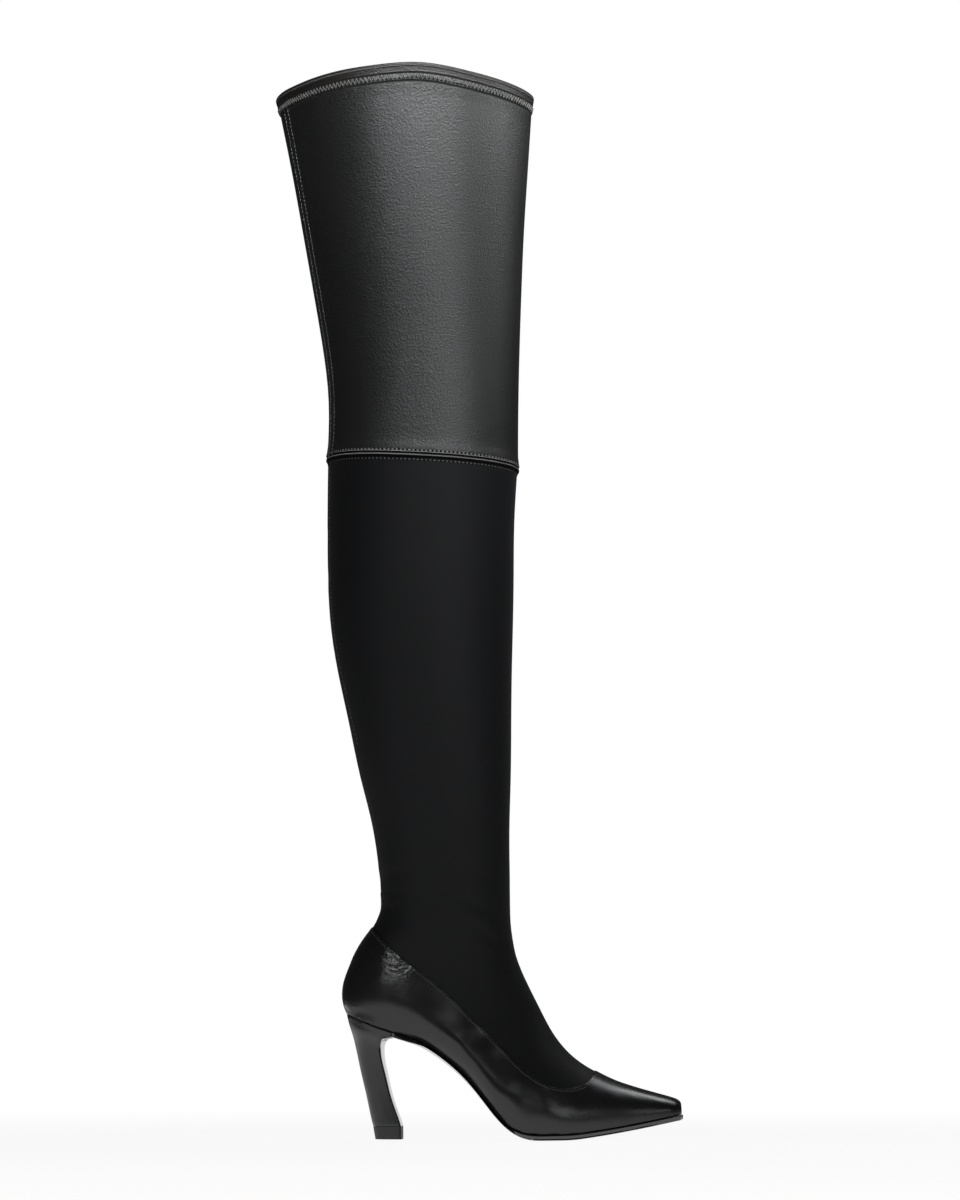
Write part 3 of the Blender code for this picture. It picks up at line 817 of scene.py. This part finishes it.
def crownWaist(piece):
    # the underside of the arch is rounded up to a thin edge
    pick(piece)
    bpy.ops.object.mode_set(mode="EDIT")
    for y in np.linspace(-waist["halfWidth"], waist["halfWidth"], waist["slices"]):
        sliceAt((0, y, 0), (0, 1, 0))
    bpy.ops.mesh.select_all(action="DESELECT")
    bpy.ops.object.mode_set(mode="OBJECT")
    points, normals = pointsOf(piece.data), normalsOf(piece.data)
    x, y = points[:, 0], points[:, 1]
    steps = np.arange(waist["from"] - waist["step"], waist["to"] + waist["step"], waist["step"])
    near = [np.abs(x - step) < waist["window"] for step in steps]
    inner = np.interp(x, steps, [y[n].max() for n in near])
    outer = np.interp(x, steps, [y[n].min() for n in near])
    across = (y - (inner + outer) / 2) / ((inner - outer) / 2)
    span = smoothStep(x, waist["from"], waist["full"]) * (1 - smoothStep(x, waist["fade"], waist["to"]))
    middle = np.where((np.abs(across) < waist["middle"]) & (normals[:, 2] < waist["downward"]))[0]
    middle = middle[np.argsort(x[middle])]
    height = np.clip(points[:, 2] - np.interp(x, x[middle], points[middle, 2]), 0, waist["thick"])
    rise = waist["crown"] * span * np.clip(across**2, 0, 1)
    points[:, 2] += rise * (1 - height / waist["thick"])
    setPoints(piece.data, points)


breast = {"sideways": 0.2, "forward": 0.3}  # limits of the normals on the heel's front face


def lacquerBreast(piece):
    piece.data.materials.append(lacquer)
    for face in piece.data.polygons:
        if abs(face.normal.y) < breast["sideways"] and face.normal.x > breast["forward"]:
            face.material_index = 1


sole = makeHard("outsole", "sole", lacquer, 0.8, 25)
heel = makeHard("heel", "covered_heel", heelSkin, 0.9, 40)
tip = makeHard("heel_top_piece", "rubber_tip", rubber, 1.0, 40)
crownWaist(sole)
lacquerBreast(heel)
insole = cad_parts["insole"]
insole.data.materials.clear()
insole.data.materials.append(sock)
print("sole, heel and insole ready")

# stitches

stitch = {
    "kneePitch": 0.0030,
    "kneeAbove": 0.0036,
    "kneeBelow": 0.0030,
    "hemPitch": 0.00155,
    "hemTall": 0.0042,
    "hemOverlap": 1.02,
    "topPitch": 0.0021,
    "topDown": 0.0016,
    "backPitch": 0.0030,
    "backStep": 0.004,
    # length, width and height of one stitch or hole
    "kneeSize": (0.0022, 0.00080, 0.00050),
    "holeSize": (0.0018, 0.00170, 0.00060),
    "hemSize": (1.0, 0.00054, 0.00050),
    "topSize": (0.0017, 0.00042, 0.00034),
    "backSize": (0.0023, 0.00050, 0.00036),
    # how far a stitch's middle lies out of the surface
    "kneeLift": 0.00002,
    "hemLift": 0.00022,
    "topLift": -0.00002,
    "backLift": 0.00008,
}


def sewn(piece):
    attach(piece, "root")


def sewKnee():
    seam = kneeEdge - np.outer(kneeSag(kneeEdge), (0, 0, 1))
    thread = threadModel(*stitch["kneeSize"])
    hole = threadModel(*stitch["holeSize"])
    for name, piece, offset, surface in (
        ("above", thigh, stitch["kneeAbove"], kneeThreadGlint),
        ("below", lower, -stitch["kneeBelow"], seamThread),
    ):
        skin = outerTree(piece)
        spots, along, normals = rowBeside(skin, seam, offset, stitch["kneePitch"])
        row = joinCopies("knee_row_" + name, thread, spots, along, normals, stitch["kneeLift"], surface)
        sewn(row)
        # dark blobs between the stitches: painted shade in the needle holes
        between, flat = nearest(skin, (spots + np.roll(spots, -1, 0)) / 2)
        holes = joinCopies("knee_hole_shade_" + name, hole, between, along, flat, 0.0, paintedShade)
        sewn(holes)
    drop(thread)
    drop(hole)


def sewHem():
    skin = outerTree(thigh)
    spots, along, normals = rowBeside(skin, collarEdge, -hemRow, stitch["hemPitch"])
    if len(spots) % 2:
        spots, along, normals = spots[:-1], along[:-1], normals[:-1]
    across = np.cross(normals, along)
    side = np.where(np.arange(len(spots)) % 2 == 0, 1, -1)[:, None]
    corners, _ = nearest(skin, spots + across * side * stitch["hemTall"] / 2)
    legs = np.roll(corners, -1, 0) - corners
    middle, flat = nearest(skin, corners + legs / 2)
    length = np.linalg.norm(legs, axis=1)
    legs /= length[:, None]
    thread = threadModel(*stitch["hemSize"])
    sizes = length * stitch["hemOverlap"]
    row = joinCopies("hem_zigzag", thread, middle, legs, flat, stitch["hemLift"], hemThread, sizes)
    sewn(row)
    drop(thread)


def sewTopline():
    thread = threadModel(*stitch["topSize"])
    spots, along, normals = rowBeside(outerTree(pump), topEdge, -stitch["topDown"], stitch["topPitch"])
    row = joinCopies("topline_row", thread, spots, along, normals, stitch["topLift"], fineThread)
    sewn(row)
    drop(thread)


backRows = (
    # name, piece, slot, thread, lowest, highest, distances from the middle line
    ("thigh", thigh, "grained_leather", backThread, 0.4895, 0.7500, (0.0170, 0.0245)),
    ("calf", lower, "stretch_fabric", seamThread, 0.2800, 0.4840, (0.0175,)),
)


def backLine(skin, low, high, reach):
    # points down the back of the leg, found by rays from behind it
    points = []
    for z in np.arange(low, high, stitch["backStep"]):
        points.append(skin.ray_cast(Vector((-0.3, reach, z)), Vector((1, 0, 0)), 0.6)[0])
    return np.array(points)


def sewBack():
    thread = threadModel(*stitch["backSize"])
    for name, piece, slot, surface, low, high, reaches in backRows:
        skin = outerTree(piece)
        for reach in reaches:
            for side, end in ((-1, "out"), (1, "in")):
                line = backLine(skin, low, high, side * reach)
                spots, along = evenly(line, stitch["backPitch"], False)
                spots, normals = nearest(skin, spots)
                label = "back_%s_%d_%s" % (name, round(reach * 1000), end)
                row = joinCopies(label, thread, spots, along, normals, stitch["backLift"], surface)
                sewn(row)
    drop(thread)


sewKnee()
sewHem()
sewTopline()
sewBack()
print("stitches sewn")

# studio: pale floor, bright surroundings, soft boxes

studio = {
    "floor": 1.3,
    "floorFade": (0.25, 1.2, 0.93, 1),  # from, to, share of even white there
    "boxes": (
        # name, place, aim, width, height, power, spread
        ("frontBox", (0.17, -0.98, 1.28), (0.05, 0, 1.00), 1.15, 0.6, 5.4, 60),
        ("cornerBox", (0.78, -0.78, 1.42), (0.05, 0, 1.12), 0.5, 0.6, 2.8, 60),
        ("sideBox", (1.18, 0.06, 1.30), (0.06, 0, 1.13), 0.8, 0.5, 1.9, 60),
        ("calfBox", (0.50, -0.85, 0.40), (0.03, 0, 0.37), 0.35, 0.40, 0.17, 42),
        ("vampBox", (0.338, 0.158, 0.598), (0.18, -0.115, 0.03), 0.50, 0.22, 0.20, 55),
        ("counterBox", (-0.42, -0.88, 0.335), (0.01, 0, 0.125), 0.42, 0.14, 0.120, 50),
        ("lowBox", (0.06, -0.92, 0.27), (0.07, 0, 0.07), 0.12, 0.10, 0.005, 60),
        ("backCard", (0.07, 1.0, 0.08), (0, 0, 0.05), 0.30, 0.14, 0.010, 60),
    ),
    # what the boot mirrors: the room, and the floor by its distance and behind the boot
    "front": 0.012,
    "behind": 0.04,
    "roomTurn": (0.2, 0.9),
    "nearFloor": 0.42,
    "farFloor": 0.80,
    "farGlow": 0.12,
    "backFrom": (0.15, 0.45),
    "backFloor": 0.4,
    "lightColour": (0.97, 0.99, 1.0),
}


def addFloor():
    bpy.ops.mesh.primitive_circle_add(vertices=96, radius=studio["floor"], fill_type="NGON")
    floor = bpy.context.object
    floor.name = "floor"
    made, tree, shader = newSurface("pale floor", (0.86, 0.86, 0.86), 0.75, 0.2)
    where = tree.nodes.new("ShaderNodeTexCoord")
    away = tree.nodes.new("ShaderNodeVectorMath")
    away.operation = "LENGTH"
    tree.links.new(where.outputs["Object"], away.inputs[0])
    distance = away.outputs["Value"]
    fade = ranged(tree, distance, *studio["floorFade"])
    path = tree.nodes.new("ShaderNodeLightPath")
    dimmed = ranged(tree, distance, studio["nearFloor"], studio["farFloor"], 1, studio["farGlow"])
    split = tree.nodes.new("ShaderNodeSeparateXYZ")
    tree.links.new(where.outputs["Object"], split.inputs["Vector"])
    backward = ranged(tree, split.outputs["Y"], *studio["backFrom"], 0, studio["backFloor"])
    seen = combined(tree, "MAXIMUM", [path.outputs["Is Camera Ray"], dimmed, backward])
    glow = tree.nodes.new("ShaderNodeEmission")
    glow.inputs["Color"].default_value = (1, 1, 1, 1)
    tree.links.new(seen, glow.inputs["Strength"])
    mix = tree.nodes.new("ShaderNodeMixShader")
    tree.links.new(fade, mix.inputs["Fac"])
    tree.links.new(shader.outputs["BSDF"], mix.inputs[1])
    tree.links.new(glow.outputs["Emission"], mix.inputs[2])
    tree.links.new(mix.outputs["Shader"], tree.nodes["Material Output"].inputs["Surface"])
    floor.data.materials.append(made)


def addLights():
    for name, spot, aim, width, height, power, spread in studio["boxes"]:
        bpy.ops.object.light_add(type="AREA", location=spot)
        light = bpy.context.object
        light.name = name
        light.data.shape = "RECTANGLE"
        light.data.size = width
        light.data.size_y = height
        light.data.energy = power
        light.data.color = studio["lightColour"]
        light.data.spread = math.radians(spread)
        light.visible_camera = False
        light.rotation_euler = (Vector(aim) - Vector(spot)).to_track_quat("-Z", "Y").to_euler()


def addSurround():
    world = bpy.data.worlds.new("studio")
    bpy.context.scene.world = world
    world.use_nodes = True
    tree = world.node_tree
    path = tree.nodes.new("ShaderNodeLightPath")
    where = tree.nodes.new("ShaderNodeTexCoord")
    split = tree.nodes.new("ShaderNodeSeparateXYZ")
    tree.links.new(where.outputs["Generated"], split.inputs["Vector"])
    depth = ranged(tree, split.outputs["Y"], *studio["roomTurn"], studio["front"], studio["behind"])
    dim = tree.nodes["Background"]
    dim.inputs["Color"].default_value = (1, 1, 1, 1)
    tree.links.new(depth, dim.inputs["Strength"])
    bright = tree.nodes.new("ShaderNodeBackground")
    bright.inputs["Color"].default_value = (1, 1, 1, 1)
    bright.inputs["Strength"].default_value = 1.0
    mix = tree.nodes.new("ShaderNodeMixShader")
    tree.links.new(path.outputs["Is Camera Ray"], mix.inputs["Fac"])
    tree.links.new(dim.outputs["Background"], mix.inputs[1])
    tree.links.new(bright.outputs["Background"], mix.inputs[2])
    tree.links.new(mix.outputs["Shader"], tree.nodes["World Output"].inputs["Surface"])


addFloor()
addLights()
addSurround()
bpy.context.scene.view_settings.view_transform = "Standard"
print("studio ready")
